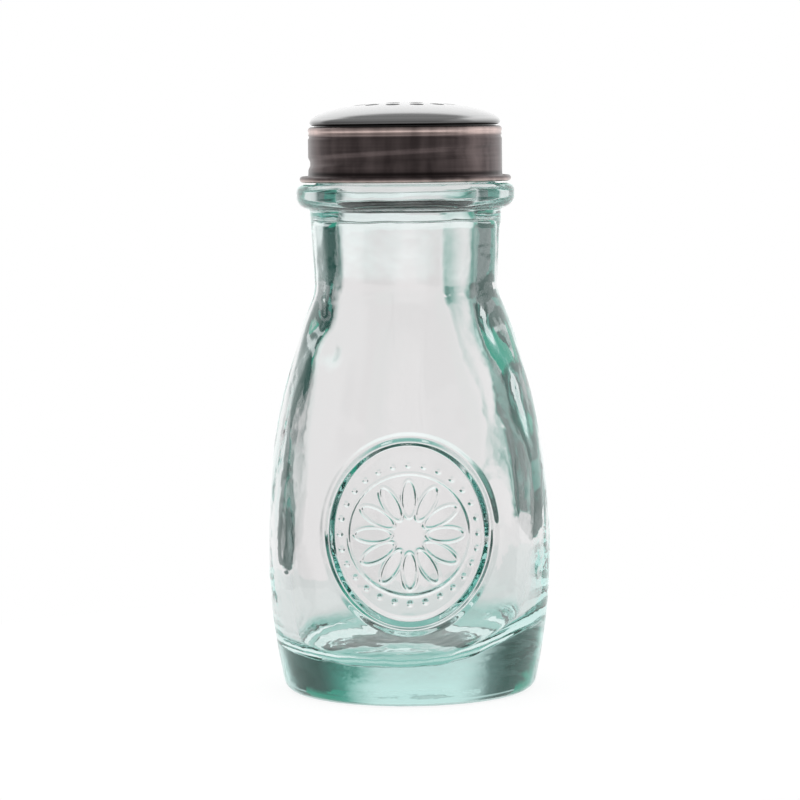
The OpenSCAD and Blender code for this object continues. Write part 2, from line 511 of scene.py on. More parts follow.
# Recycled soda-lime glass, pressed in an iron mould: iron in the cullet tints it aqua, which
# shows in the thick foot and at the edges, and the chilled skin leaves soft ripples
@dataclass(frozen=True)
class PressedGlass(Finish):
    """Clear recycled glass with an aqua tint in its depth."""

    name: str = "recycled_soda_lime_glass"
    ior: float = 1.52
    tint: str = "#7cdad2"
    density: float = 13.5
    ripple: float = 7.0
    ripple_h: float = 0.09
    chill: float = 1.8
    chill_h: float = 0.03
    chill_z: Span = Span(9.0, 13.0)

    def shaders(self, nodes: Nodes, place: Socket) -> Inputs:
        """Make the glass and the tint in its depth.

        Args:
            nodes: The material's nodes.
            place: Object coordinates.

        Returns:
            The surface and the volume.
        """
        skin = nodes.out(NOISE, {"Vector": place, "Scale": 1 / (self.ripple * MM), "Detail": 2.5})
        soft = {"Height": skin, "Strength": 1.0, "Distance": self.ripple_h * MM}
        rippled = nodes.out("ShaderNodeBump", soft)
        height = nodes.out(SPLIT, {0: place}, "Z")
        low = nodes.out(RANGE, {"Value": height, **self.chill_z.reads(MM), **FADE_OUT})
        grain = nodes.out(NOISE, {"Vector": place, "Scale": 1 / (self.chill * MM), "Detail": 1.0})
        marks = nodes.out(MATH, {0: grain, 1: low}, operation="MULTIPLY")
        fine = {"Height": marks, "Strength": 1.0, "Distance": self.chill_h * MM, "Normal": rippled}
        chilled = nodes.out("ShaderNodeBump", fine)
        clear = {"Base Color": WHITE, "Roughness": 0.0, "IOR": self.ior, "Transmission Weight": 1.0}
        glass = nodes.out(PRINCIPLED, {**clear, "Normal": chilled})
        depth = {"Color": linear(self.tint), "Density": self.density}
        return {"Surface": glass, "Volume": nodes.out("ShaderNodeVolumeAbsorption", depth)}


# Tinplate with a dark gunmetal lacquer, drawn and rolled: a brownish dark metal with hand smudges
# down the skirt and faint drawing lines round it, a painted pinkish highlight on the top bead and the hem,
# and painted shade in the corner over the brim and along the top edge under the dome. The lines are coarser
# than a die leaves them, so that they show
@dataclass(frozen=True)
class GunmetalLacquer(Finish):
    """Dark brown-grey lacquered steel of the screw ring."""

    name: str = "gunmetal_lacquered_tinplate"
    dark: str = "#4a4141"
    light: str = "#756968"
    smudge_w: float = 3.5
    smudge_h: float = 14.0
    line_w: float = 25.0
    line_h: float = 0.5
    line_share: float = 0.25
    tone: Span = Span(0.36, 0.76)
    rough_tone: Span = Span(0.3, 0.7)
    rough: Span = Span(0.28, 0.42)
    highlight_tone: Span = Span(0.3, 0.6)
    highlight_share: Span = Span(0.55, 1.0)
    crease_shade_share: float = 0.85
    # painted highlight: pinkish bands on the top bead and on the hem's lower edge
    painted_highlights: tuple[Band, ...] = (Band(128.5, 1.3, "#dcc6c0"), Band(117.0, 1.1, "#d8c4be"))
    # painted shade: dark bands in the corner over the brim and along the top edge under the dome
    painted_crease_shade: tuple[Band, ...] = (Band(118.9, 0.9, "#1c1717"), Band(130.0, 0.8, "#1c1717"))

    def shaders(self, nodes: Nodes, place: Socket) -> Inputs:
        """Make the lacquer, its painted highlights and its painted shade.

        Args:
            nodes: The material's nodes.
            place: Object coordinates.

        Returns:
            The surface.
        """
        patterns = []
        for wide, high in ((self.smudge_w, self.smudge_h), (self.line_w, self.line_h)):
            scale = (1 / (wide * MM), 1 / (wide * MM), 1 / (high * MM))
            drawn = nodes.out("ShaderNodeMapping", {"Vector": place, "Scale": scale})
            patterns.append(nodes.out(NOISE, {"Vector": drawn, "Scale": 1.0, "Detail": 2.0}))
        smudge, lines = patterns
        both = {"Factor": self.line_share, "A": smudge, "B": lines}
        mixed = nodes.out(MIX, both, "Result", data_type="FLOAT")
        share = nodes.out(RANGE, {"Value": mixed, **self.tone.reads()})
        tones = {"Factor": share, "A": linear(self.dark), "B": linear(self.light)}
        colour = nodes.out(MIX, tones, "Result", data_type="RGBA")
        # painted highlight: how much of the pinkish bands shows, made patchy by the smudges
        highlight_patchiness = nodes.out(RANGE, {"Value": smudge, **self.highlight_tone.reads(), **self.highlight_share.gives()})
        for mark in self.painted_highlights:
            colour = mark.paint(nodes, place, colour, highlight_patchiness)
        # painted shade: darkens the corner over the brim and the top edge under the dome
        for mark in self.painted_crease_shade:
            colour = mark.paint(nodes, place, colour, self.crease_shade_share)
        rough = nodes.out(RANGE, {"Value": smudge, **self.rough_tone.reads(), **self.rough.gives()})
        metal = {"Base Color": colour, "Metallic": 1.0, "Roughness": rough}
        return {"Surface": nodes.out(PRINCIPLED, metal)}


# Stainless steel sheet, drawn and satin polished on a spindle: fine turned lines, a soft spread
# of the light, and painted shade that darkens it towards the crease. The lines are coarser than polish
# leaves them, which would be too fine to show
@dataclass(frozen=True)
class SatinSteel(Finish):
    """Satin stainless steel of the dome."""

    name: str = "satin_stainless_steel"
    dark: str = "#b0b1b1"
    light: str = "#c6c6c6"
    line_w: float = 0.4
    rough_tone: Span = Span(0.3, 0.7)
    rough: Span = Span(0.14, 0.22)
    # painted shade: darker towards the crease at the dome's lower edge
    painted_crease_shade: Band = Band(129.9, 1.6, "#2c2a2a")

    def shaders(self, nodes: Nodes, place: Socket) -> Inputs:
        """Make the steel with its turned lines.

        Args:
            nodes: The material's nodes.
            place: Object coordinates.

        Returns:
            The surface.
        """
        across = nodes.add(SPLIT, {0: place}).outputs
        flat = nodes.out(COMBINE, {"X": across["X"], "Y": across["Y"]})
        reach = nodes.out(VECTOR_MATH, {0: flat}, "Value", operation="LENGTH")
        pattern = {"W": reach, "Scale": 1 / (self.line_w * MM), "Detail": 2.0}
        turned = nodes.out(NOISE, pattern, noise_dimensions="1D")
        tones = {"Factor": turned, "A": linear(self.dark), "B": linear(self.light)}
        colour = nodes.out(MIX, tones, "Result", data_type="RGBA")
        # painted shade along the crease
        crease_shaded = self.painted_crease_shade.paint(nodes, place, colour, 1.0)
        rough = nodes.out(RANGE, {"Value": turned, **self.rough_tone.reads(), **self.rough.gives()})
        metal = {"Base Color": crease_shaded, "Metallic": 1.0, "Roughness": rough}
        return {"Surface": nodes.out(PRINCIPLED, metal)}


# Low-density polyethylene, cut from sheet: milky, waxy and a little mottled
@dataclass(frozen=True)
class Polyethylene(Finish):
    """Soft white plastic of the seal."""

    name: str = "white_polyethylene"
    dark: str = "#dcdcd4"
    light: str = "#f1f1ea"
    mottle: float = 3.0
    rough: float = 0.45
    ior: float = 1.51

    def shaders(self, nodes: Nodes, place: Socket) -> Inputs:
        """Make the mottled plastic.

        Args:
            nodes: The material's nodes.
            place: Object coordinates.

        Returns:
            The surface.
        """
        cloud = nodes.out(NOISE, {"Vector": place, "Scale": 1 / (self.mottle * MM)})
        tones = {"Factor": cloud, "A": linear(self.dark), "B": linear(self.light)}
        colour = nodes.out(MIX, tones, "Result", data_type="RGBA")
        wax = {"Base Color": colour, "Roughness": self.rough, "IOR": self.ior}
        return {"Surface": nodes.out(PRINCIPLED, wax)}


# Matt white paper, lit evenly from above: it keeps a soft shadow, and through the glass it shows a
# painted aqua shadow round the jar's foot
@dataclass(frozen=True)
class WhitePaper(Finish):
    """White paper that the jar stands on."""

    name: str = "white_paper"
    matt: float = 0.9
    bright: float = 1.1
    glow: float = 0.8
    through: str = "#e2e0e0"
    shadow: str = "#8cc2b9"
    shadow_r: Span = Span(28.0, 55.0)

    def shaders(self, nodes: Nodes, place: Socket) -> Inputs:
        """Make the paper, with its own look for each kind of ray.

        Args:
            nodes: The material's nodes.
            place: Object coordinates.

        Returns:
            The surface.
        """
        path = nodes.add("ShaderNodeLightPath").outputs
        seen = nodes.out(MATH, {0: path["Is Camera Ray"], 1: path["Is Glossy Ray"]}, operation="MAXIMUM")
        share = nodes.out(MATH, {0: seen, 1: self.glow}, operation="MULTIPLY")
        # painted shadow: aqua round the jar's foot, fading out to even paper, shown only to rays through the
        # glass
        reach = nodes.out(VECTOR_MATH, {0: place}, "Value", operation="LENGTH")
        lit = nodes.out(RANGE, {"Value": reach, **self.shadow_r.reads(MM)}, interpolation_type="SMOOTHSTEP")
        tones = {"Factor": lit, "A": linear(self.shadow), "B": linear(self.through)}
        below = nodes.out(MIX, tones, "Result", data_type="RGBA")
        shader = nodes.out("ShaderNodeBsdfDiffuse", {"Color": grey(self.matt)})
        for factor, glows in ((share, grey(self.bright)), (path["Is Transmission Ray"], below)):
            glow = nodes.out("ShaderNodeEmission", {"Color": glows, "Strength": 1.0})
            shader = nodes.out("ShaderNodeMixShader", {0: factor, 1: shader, 2: glow})
        return {"Surface": shader}


@dataclass(frozen=True)
class Medallion:
    """The raised oval on the front: a sharp rim between two moats, and a flower in a ring of beads.

    It lies in a patch that takes the place of the front quarter of the belly.
    """

    patch_z: Span = Span(13.0, 66.0)
    patch_angle: float = -135.0
    patch_steps: int = 6
    width: float = 37.8
    height: float = 43.0
    middle_z: float = 39.4
    rim_w: float = 1.9
    rim_side: float = 0.5
    rim_crest: float = 0.1
    rim_rise: float = 1.4
    rim_margin: float = 1.5
    rim_steps: int = 30
    moat: float = 0.4
    moat_w: float = 1.5
    field_rise: float = 0.1
    field_steps: int = 74
    stroke_w: float = 0.9
    stroke_crest: float = 0.15
    stroke_rise: float = 0.4
    petals: int = 12
    petal_w: float = 3.4
    petal_h: float = 8.4
    petal_r: float = 8.0
    circle_r: float = 13.6
    beads: int = 28
    bead_d: float = 0.5
    bead_circle_r: float = 15.4

    def set_into(self, spin: Spin, first_row: int, side: int, belly: Callable[[float], float]) -> None:
        """Swap the front quarter of the belly for rings that follow the medallion's oval.

        Args:
            spin: The jar in the making.
            first_row: Row at the lower edge of the quarter.
            side: Steps along each edge of the quarter.
            belly: Radius of the belly at a height.
        """
        rows = spin.rings[first_row : first_row + side + 1]
        lower = {i for ring in rows[:-1] for i in ring[:side]}
        upper = {i for ring in rows[1:] for i in ring[1 : side + 1]}
        spin.faces = [f for f in spin.faces if not (len(f) == 4 and f[0] in lower and f[2] in upper)]
        edge = [rows[0][j] for j in range(side)]
        edge += [rows[i][side] for i in range(side)]
        edge += [rows[side][side - j] for j in range(side)]
        edge += [rows[side - i][0] for i in range(side)]
        start = [(spin.points[e][0], spin.points[e][2]) for e in edge]
        fine: list[Point] = []
        for a, b in zip(start, start[1:] + start[:1]):
            fine += [a, ((a[0] + b[0]) / 2, (a[1] + b[1]) / 2)]
        angles = [math.radians(self.patch_angle) + TURN * k / len(fine) for k in range(len(fine))]

        def oval(inset: float, share: float) -> list[Point]:
            """Points of the oval, in by a width and then shrunk to a share."""
            wide, high = (self.width / 2 - inset) * share, (self.height / 2 - inset) * share
            return [(wide * math.cos(a), self.middle_z + high * math.sin(a)) for a in angles]

        outer = oval(-self.rim_margin, 1)
        loops: list[list[Point]] = []
        for i in range(1, self.patch_steps + 1):
            t = i / self.patch_steps
            loops.append([(a[0] + (p[0] - a[0]) * t, a[1] + (p[1] - a[1]) * t) for a, p in zip(fine, outer)])
        across = self.rim_w + 2 * self.rim_margin
        inner = self.rim_w + self.rim_margin
        insets = [across * i / self.rim_steps - self.rim_margin for i in range(1, self.rim_steps + 1)]
        loops += [oval(inset, 1) for inset in insets]
        loops += [oval(inner, 1 - i / self.field_steps) for i in range(1, self.field_steps)]
        ring = edge
        for loop in loops:
            new = [spin.add(x, -math.sqrt(belly(z) ** 2 - x * x), z, Zone.MEDALLION) for x, z in loop]
            if ring is edge:
                spin.bridge_double(ring, new)
            else:
                spin.bridge(ring, new)
            ring = new
        pole = spin.add(0, -belly(self.middle_z), self.middle_z, Zone.MEDALLION)
        spin.bridge(ring, [pole])

    def stamp(self, jar: Piece, finish: Material) -> None:
        """Raise the oval rim, its field and the petals and beads on it, the way the mould opens.

        Args:
            jar: The jar.
            finish: The glass.
        """
        sizes = {
            "Half width": (self.width - self.rim_w) / 2,
            "Half height": (self.height - self.rim_w) / 2,
            "Centre height": self.middle_z,
            "Half rim": self.rim_w / 2,
            "Side width": self.rim_side,
            "Half crest": self.rim_crest / 2,
            "Rim rise": self.rim_rise + self.moat - self.field_rise,
            "Moat": -self.moat,
            "Moat edge": self.rim_w / 2 + self.moat_w,
            "Field rise": self.field_rise,
            "Half stroke": self.stroke_w / 2,
            "Half stroke crest": self.stroke_crest / 2,
            "Stroke rise": self.stroke_rise,
            "Circle radius": self.circle_r,
            "Petal width": self.petal_w,
            "Petal height": self.petal_h,
            "Petal reach": self.petal_r,
            "Bead width": self.bead_d,
            "Bead reach": self.bead_circle_r,
        }
        counts = {"Petals": self.petals, "Beads": self.beads}
        tree = Tree("medallion_relief", {name: value * MM for name, value in sizes.items()} | counts)
        size = tree.size
        across = tree.add(SPLIT, {0: tree.out("GeometryNodeInputPosition")}).outputs
        drop = tree.out(MATH, {0: across["Z"], 1: size["Centre height"]}, operation="SUBTRACT")
        front = tree.out(COMBINE, {"X": across["X"], "Y": drop})
        rim_away, plate_away = self.from_oval(tree, front)
        inside = tree.out(MATH, {0: plate_away, 1: TINY}, operation="LESS_THAN")
        side = tree.out(MATH, {0: across["X"], 1: size["Half width"]}, operation="DIVIDE")
        side = tree.out(MATH, {0: side, 1: 2.0}, operation="POWER")
        wider = tree.out(MATH, {0: side, 1: size["Side width"]}, operation="MULTIPLY")
        half_rim = tree.out(MATH, {0: wider, 1: inside, 2: size["Half rim"]}, operation="MULTIPLY_ADD")
        stroke_away = self.from_strokes(tree, front)
        total: Socket | float = 0.0
        for away, low, high, rise, ease in (
            (rim_away, size["Half crest"], half_rim, size["Rim rise"], "LINEAR"),
            (rim_away, size["Half rim"], size["Moat edge"], size["Moat"], "SMOOTHSTEP"),
            (plate_away, 0.0, size["Half rim"], size["Field rise"], "SMOOTHSTEP"),
            (stroke_away, size["Half stroke crest"], size["Half stroke"], size["Stroke rise"], "LINEAR"),
        ):
            fall = {"Value": away, "From Min": low, "From Max": high, "To Min": rise, "To Max": 0.0}
            raised = tree.out(RANGE, fall, interpolation_type=ease)
            total = tree.out(MATH, {0: total, 1: raised}, operation="ADD")
        forward = tree.out(MATH, {0: total, 1: -1.0}, operation="MULTIPLY")
        tree.run(jar, tree.shift(Zone.MEDALLION, tree.out(COMBINE, {"Y": forward})), finish)

    def from_oval(self, tree: Tree, front: Socket) -> tuple[Socket, Socket]:
        """Measure how far each point of the medallion is from its oval.

        Args:
            tree: The relief's tree.
            front: Points of the medallion as seen from the front.

        Returns:
            The distance from the oval's line, and from the plate inside it.
        """
        circle = tree.out(CIRCLE, {"Resolution": 256, "Radius": 1.0})
        spread = tree.out(COMBINE, {"X": tree.size["Half width"], "Y": tree.size["Half height"], "Z": 1.0})
        oval = tree.out(TRANSFORM, {"Geometry": circle, "Scale": spread})
        ring = tree.out(CURVE_TO_MESH, {"Curve": oval})
        plate = tree.out("GeometryNodeFillCurve", {"Curve": oval})
        away = []
        for shape, part in ((ring, "EDGES"), (plate, "FACES")):
            sample = {0: shape, "Sample Position": front}
            away.append(tree.out(NEAREST, sample, "Distance", target_element=part))
        return away[0], away[1]

    def from_strokes(self, tree: Tree, front: Socket) -> Socket:
        """Measure how far each point of the medallion is from the lines of the motif.

        Args:
            tree: The relief's tree.
            front: Points of the medallion as seen from the front.

        Returns:
            The distance from the circle, the petals and the beads.
        """
        size = tree.size
        strokes = [tree.out(CIRCLE, {"Resolution": 96, "Radius": size["Circle radius"]})]
        for count, reach, width, height in (
            ("Petals", "Petal reach", "Petal width", "Petal height"),
            ("Beads", "Bead reach", "Bead width", "Bead width"),
        ):
            shape = tree.out(CIRCLE, {"Resolution": 32, "Radius": 0.5})
            spread = tree.out(COMBINE, {"X": size[width], "Y": size[height], "Z": 1.0})
            off = tree.out(COMBINE, {"Y": size[reach]})
            shape = tree.out(TRANSFORM, {"Geometry": shape, "Translation": off, "Scale": spread})
            spots = tree.out("GeometryNodePoints", {"Count": size[count]})
            index = tree.out("GeometryNodeInputIndex")
            share = tree.out(MATH, {0: index, 1: size[count]}, operation="DIVIDE")
            angle = tree.out(MATH, {0: share, 1: TURN}, operation="MULTIPLY")
            turned = tree.out(COMBINE, {"Z": angle})
            placed = tree.out(SET_ON_POINTS, {"Points": spots, "Instance": shape, "Rotation": turned})
            strokes.append(tree.out(REALIZE, {"Geometry": placed}))
        drawn = tree.out(CURVE_TO_MESH, {"Curve": tree.out(JOIN, {"Geometry": strokes})})
        return tree.out(NEAREST, {0: drawn, "Sample Position": front}, "Distance", target_element="EDGES")


@dataclass(frozen=True)
class Casting:
    """Chance marks of one casting: an uneven floor, waves, streaks, thick spots and bubbles."""

    floor_tilt: float = 0.37
    floor_tilt_x: float = 8.0
    floor_ease: float = 3.0
    floor_back: float = 0.1
    floor_back_y: float = -20.0
    floor_level_z: Span = Span(14.0, 44.0)
    crinkle: float = 0.22
    crinkle_size: float = 3.5
    crinkle_end_z: Span = Span(9.0, 20.0)
    foot_wave: float = 0.3
    foot_wave_size: float = 7.0
    foot_calm: Span = Span(0.7, 0.95)
    ripple: float = 0.4
    ripple_size: float = 20.0
    streak: float = 0.35
    streak_w: float = 6.0
    streak_h: float = 30.0
    streak_z: Span = Span(20.0, 40.0)
    uneven_r: Span = Span(4.0, 12.0)
    even_z: Span = Span(108.0, 116.0)
    lumps: tuple[Lump, ...] = (
        Lump(205, 84, 4.0, 0.9),
        Lump(222, 79, 3.0, 0.7),
        Lump(335, 83, 6.0, 1.0),
        Lump(345, 66, 7.0, 0.8),
    )
    bubbles_per_m2: float = 1000.0
    bubble_seed: int = 11
    bubble_r: Span = Span(0.06, 0.17)
    bubble_depth: float = 1.8

    def mark(self, spin: Spin, hollow_r: float, hollow_h: float) -> None:
        """Give the glass the uneven floor, the soft waves and the thick spots of a pressed jar.

        Args:
            spin: The jar in the making.
            hollow_r: Radius of the hollow in the foot.
            hollow_h: Its height.
        """
        for i, (x, y, z) in enumerate(spin.points):
            reach = max(TINY, math.hypot(x, y))
            if spin.zones[i] == Zone.PLAIN.value and z < hollow_h + TINY:
                wave = noise.noise(Vector((x, y, 0)) / self.foot_wave_size)
                z += self.foot_wave * wave * (1 - self.foot_calm.share(reach / hollow_r))
            if spin.zones[i] == Zone.INSIDE.value:
                steep = math.log1p(math.exp((x - self.floor_tilt_x) / self.floor_ease))
                lift = self.floor_tilt * self.floor_ease * steep
                lift += self.floor_back * max(0.0, y - self.floor_back_y)
                z += lift * (1 - self.floor_level_z.share(z))
                crinkle = noise.noise(Vector((x, y, 0)) / self.crinkle_size)
                z += self.crinkle * crinkle * (1 - self.crinkle_end_z.share(z))
                push = self.thickness(x, y, z) * self.uneven_r.share(reach)
                x, y = x * (1 - push / reach), y * (1 - push / reach)
            spin.points[i] = (x, y, z)

    def thickness(self, x: float, y: float, z: float) -> float:
        """How much thicker than even the wall is at a point of its inner face.

        Args:
            x: Across.
            y: Along the view.
            z: Up.

        Returns:
            The extra thickness.
        """
        extra = self.ripple * noise.noise(Vector((x, y, z)) / self.ripple_size)
        streak = Vector((x / self.streak_w, y / self.streak_w, z / self.streak_h))
        extra += self.streak * noise.noise(streak) * self.streak_z.share(z)
        for lump in self.lumps:
            turn = math.atan2(y, x) - math.radians(lump.angle)
            side = math.hypot(x, y) * (turn - TURN * round(turn / TURN))
            extra += lump.rise * math.exp(-(side**2 + (z - lump.z) ** 2) / lump.reach**2)
        return extra * (1 - self.even_z.share(z))

    def seed(self, jar: Piece, finish: Material) -> None:
        """Set small gas bubbles in the wall, as recycled glass has.

        Args:
            jar: The jar.
            finish: The glass.
        """
        sizes = {
            "Density": self.bubbles_per_m2,
            "Seed": self.bubble_seed,
            "Smallest": self.bubble_r.low * MM,
            "Largest": self.bubble_r.high * MM,
            "Deep": -self.bubble_depth * MM,
        }
        tree = Tree("seeds", sizes)
        size = tree.size
        picked = {"Mesh": size["Geometry"], "Selection": tree.in_zone(Zone.BELLY)}
        scatter = {**picked, "Density": size["Density"], "Seed": size["Seed"]}
        spread = tree.add("GeometryNodeDistributePointsOnFaces", scatter).outputs
        inward = tree.out(VECTOR_MATH, {0: spread["Normal"], "Scale": size["Deep"]}, operation="SCALE")
        sunk = tree.out(MOVE, {"Geometry": spread["Points"], "Offset": inward})
        limits = {2: size["Smallest"], 3: size["Largest"], "Seed": size["Seed"]}
        girth = tree.out("FunctionNodeRandomValue", limits, 1, data_type="FLOAT")
        ball = tree.out("GeometryNodeMeshIcoSphere", {"Radius": 1.0, "Subdivisions": 2})
        ball = tree.out("GeometryNodeSetShadeSmooth", {"Geometry": ball})
        ball = tree.out("GeometryNodeFlipFaces", {"Mesh": ball})
        bubbles = tree.out(SET_ON_POINTS, {"Points": sunk, "Instance": ball, "Scale": girth})
        tree.run(jar, tree.out(JOIN, {"Geometry": [size["Geometry"], bubbles]}), finish)


@dataclass
class GlassJar:
    """The pressed jar: foot, belly, medallion, shoulder, neck, bead and threaded finish."""

    # Outer face
    height: float = 127.6
    belly_r: float = 32.6
    belly_z: float = 34.0
    foot_in: float = 4.0
    heel_r: float = 3.0
    foot_ring_w: float = 4.5
    push_up: float = 3.0
    neck_r: float = 21.05
    neck_flare: float = 0.9
    shoulder_z: float = 94.0
    shoulder_r: float = 11.0
    bead_r: float = 25.0
    bead_low_z: float = 110.9
    bead_top_z: float = 116.6
    bead_low_r: float = 2.9
    bead_top_r: float = 1.8
    fillet: float = 0.7
    finish_r: float = 20.2
    rim_round: float = 1.0
    thread: Thread = Thread(
        lead=7.0, rise=1.0, root_w=2.4, crest_w=1.2, low_z=118.9, start=-36.6, turns=0.9
    )
    segments: int = 192
    # Inner face
    wall: float = 4.0
    floor_t: float = 9.0
    floor_r: float = 5.0
    mouth_r: float = 16.5
    taper_h: float = 3.0
    # What is set into the faces
    medallion: Medallion = Medallion()
    casting: Casting = Casting()

    def __post_init__(self) -> None:
        """Work out the two arcs of the belly, and where they meet the heel and the shoulder."""
        self.low_r = (self.foot_in**2 + self.belly_z**2) / (2 * self.foot_in)
        self.low_x = self.belly_r - self.low_r
        self.shoulder_x = self.neck_r + self.shoulder_r
        rise = self.shoulder_z - self.belly_z
        spare = rise**2 + (self.shoulder_x - self.belly_r) ** 2 - self.shoulder_r**2
        self.up_r = spare / (2 * (self.belly_r - self.neck_r))
        self.up_x = self.belly_r - self.up_r
        self.up_angle = math.degrees(math.atan2(rise, self.shoulder_x - self.up_x))
        self.heel_x, self.heel_angle = self.corner(0, self.heel_r, 0)
        self.hollow_r = self.heel_x - self.foot_ring_w

    def belly(self, z: float, inset: float = 0.0) -> float:
        """Radius of the belly at a height, at a distance inside its outer face."""
        x, r = (self.low_x, self.low_r) if z < self.belly_z else (self.up_x, self.up_r)
        return x + math.sqrt((r - inset) ** 2 - (z - self.belly_z) ** 2)

    def corner(self, z: float, r: float, inset: float) -> tuple[float, float]:
        """Circle that rests on a height inside the lower belly.

        Args:
            z: The height that it rests on.
            r: Its radius.
            inset: Distance of the belly's face inside the outer one.

        Returns:
            Its centre's distance from the axis, and the angle where it meets the belly.
        """
        x = self.low_x + math.sqrt((self.low_r - inset - r) ** 2 - (z + r - self.belly_z) ** 2)
        return x, math.degrees(math.atan2(z + r - self.belly_z, x - self.low_x))

    def climb(self, low: float, high: float, inset: float, steps: int, zone: Zone) -> list[Row]:
        """Rows up the belly, the first height left out."""
        heights = [low + (high - low) * (i + 1) / steps for i in range(steps)]
        return [Row(self.belly(z, inset), z, zone) for z in heights]

    def outside(self) -> list[Row]:
        """Work out the outer face.

        Returns:
            Its rows, from the middle of the hollow foot to the rim.
        """
        ball = (self.hollow_r**2 + self.push_up**2) / (2 * self.push_up)
        edge = math.degrees(math.acos(self.hollow_r / ball))
        foot = arc((0, self.push_up - ball), ball, 90, edge, steps=10)
        foot += line(foot[-1], (self.heel_x, 0), steps=4)
        foot += arc((self.heel_x, self.heel_r), self.heel_r, -90, self.heel_angle, steps=8)[1:]
        rows = [Row(0 if i == 0 else r, z) for i, (r, z) in enumerate(foot)]
        shoulder = self.belly_z + self.up_r * math.sin(math.radians(self.up_angle))
        patch = self.medallion.patch_z
        heights = (rows[-1].z, patch.low, patch.high, shoulder)
        for low, high, steps in zip(heights, heights[1:], (10, self.segments // 4, 14)):
            rows += self.climb(low, high, inset=0, steps=steps, zone=Zone.BELLY)
        bend = (self.shoulder_x, self.shoulder_z)
        neck = arc(bend, self.shoulder_r, self.up_angle + 180, 180, steps=10)[1:]
        f = self.fillet
        bead_x, bead_z = self.neck_r + self.neck_flare, self.bead_low_z
        neck += line(neck[-1], (bead_x, bead_z - f), steps=8)
        neck += arc((bead_x + f, bead_z - f), f, 180, 90, steps=4)[1:]
        low_r, top_r = self.bead_low_r, self.bead_top_r
        neck += arc((self.bead_r - low_r, bead_z + low_r), low_r, -90, 0, steps=8)
        neck += arc((self.bead_r - top_r, self.bead_top_z - top_r), top_r, 0, 90, steps=6)
        neck += line(neck[-1], (self.finish_r + f, self.bead_top_z), steps=3)
        neck += arc((self.finish_r + f, self.bead_top_z + f), f, -90, -180, steps=3)[1:]
        rows += [Row(r, z) for r, z in neck]
        top = self.height - self.rim_round
        rows += [Row(r, z, Zone.THREAD) for r, z in line(neck[-1], (self.finish_r, top), steps=30)]
        rim = arc((self.finish_r - self.rim_round, top), self.rim_round, 0, 90, steps=6)[1:]
        return rows + [Row(r, z) for r, z in rim]

    def inside(self) -> list[Row]:
        """Work out the inner face.

        Returns:
            Its rows, from the rim down to the middle of the floor.
        """
        corner_x, corner_angle = self.corner(self.floor_t, self.floor_r, self.wall)
        top = self.height - self.rim_round
        neck = arc((self.mouth_r + self.rim_round, top), self.rim_round, 90, 180, steps=6)
        neck += line(neck[-1], (self.mouth_r, self.bead_low_z), steps=8)
        inner_r = self.neck_r - self.wall
        neck += line(neck[-1], (inner_r, self.bead_low_z - self.taper_h), steps=4)
        neck += line(neck[-1], (inner_r, self.shoulder_z), steps=9)
        bend = (self.shoulder_x, self.shoulder_z)
        neck += arc(bend, self.shoulder_r + self.wall, 180, self.up_angle + 180, steps=10)[1:]
        rows = [Row(r, z, Zone.INSIDE) for r, z in neck]
        low = self.floor_t + self.floor_r * (1 + math.sin(math.radians(corner_angle)))
        rows += self.climb(rows[-1].z, low, self.wall, steps=32, zone=Zone.INSIDE)
        floor = arc((corner_x, self.floor_t + self.floor_r), self.floor_r, corner_angle, -90, steps=14)[1:]
        floor += line(floor[-1], (0, self.floor_t), steps=40)
        floor[-1] = (0, self.floor_t)
        return rows + [Row(r, z, Zone.INSIDE) for r, z in floor]

    def build(self, finish: Material) -> Piece:
        """Make the jar's mesh.

        Args:
            finish: The glass.

        Returns:
            The jar.
        """
        outside = self.outside()
        spin = Spin(outside + self.inside(), self.segments, self.medallion.patch_angle, closed=False)
        low = self.medallion.patch_z.low
        first = next(i for i, row in enumerate(outside) if abs(row.z - low) < TINY)
        self.medallion.set_into(spin, first, self.segments // 4, self.belly)
        self.casting.mark(spin, self.hollow_r, self.push_up)
        jar = spin.piece("jar_glass", sharp=180)
        self.medallion.stamp(jar, finish)
        self.thread.roll(jar, finish)
        self.casting.seed(jar, finish)
        return jar

    def dress(self, finish: Material) -> Piece:
        """Build the jar and put it on its body.

        Args:
            finish: The glass.

        Returns:
            The jar.
        """
        jar = self.build(finish)
        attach(jar, "jar")
        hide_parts("glass_jar")
        return jar


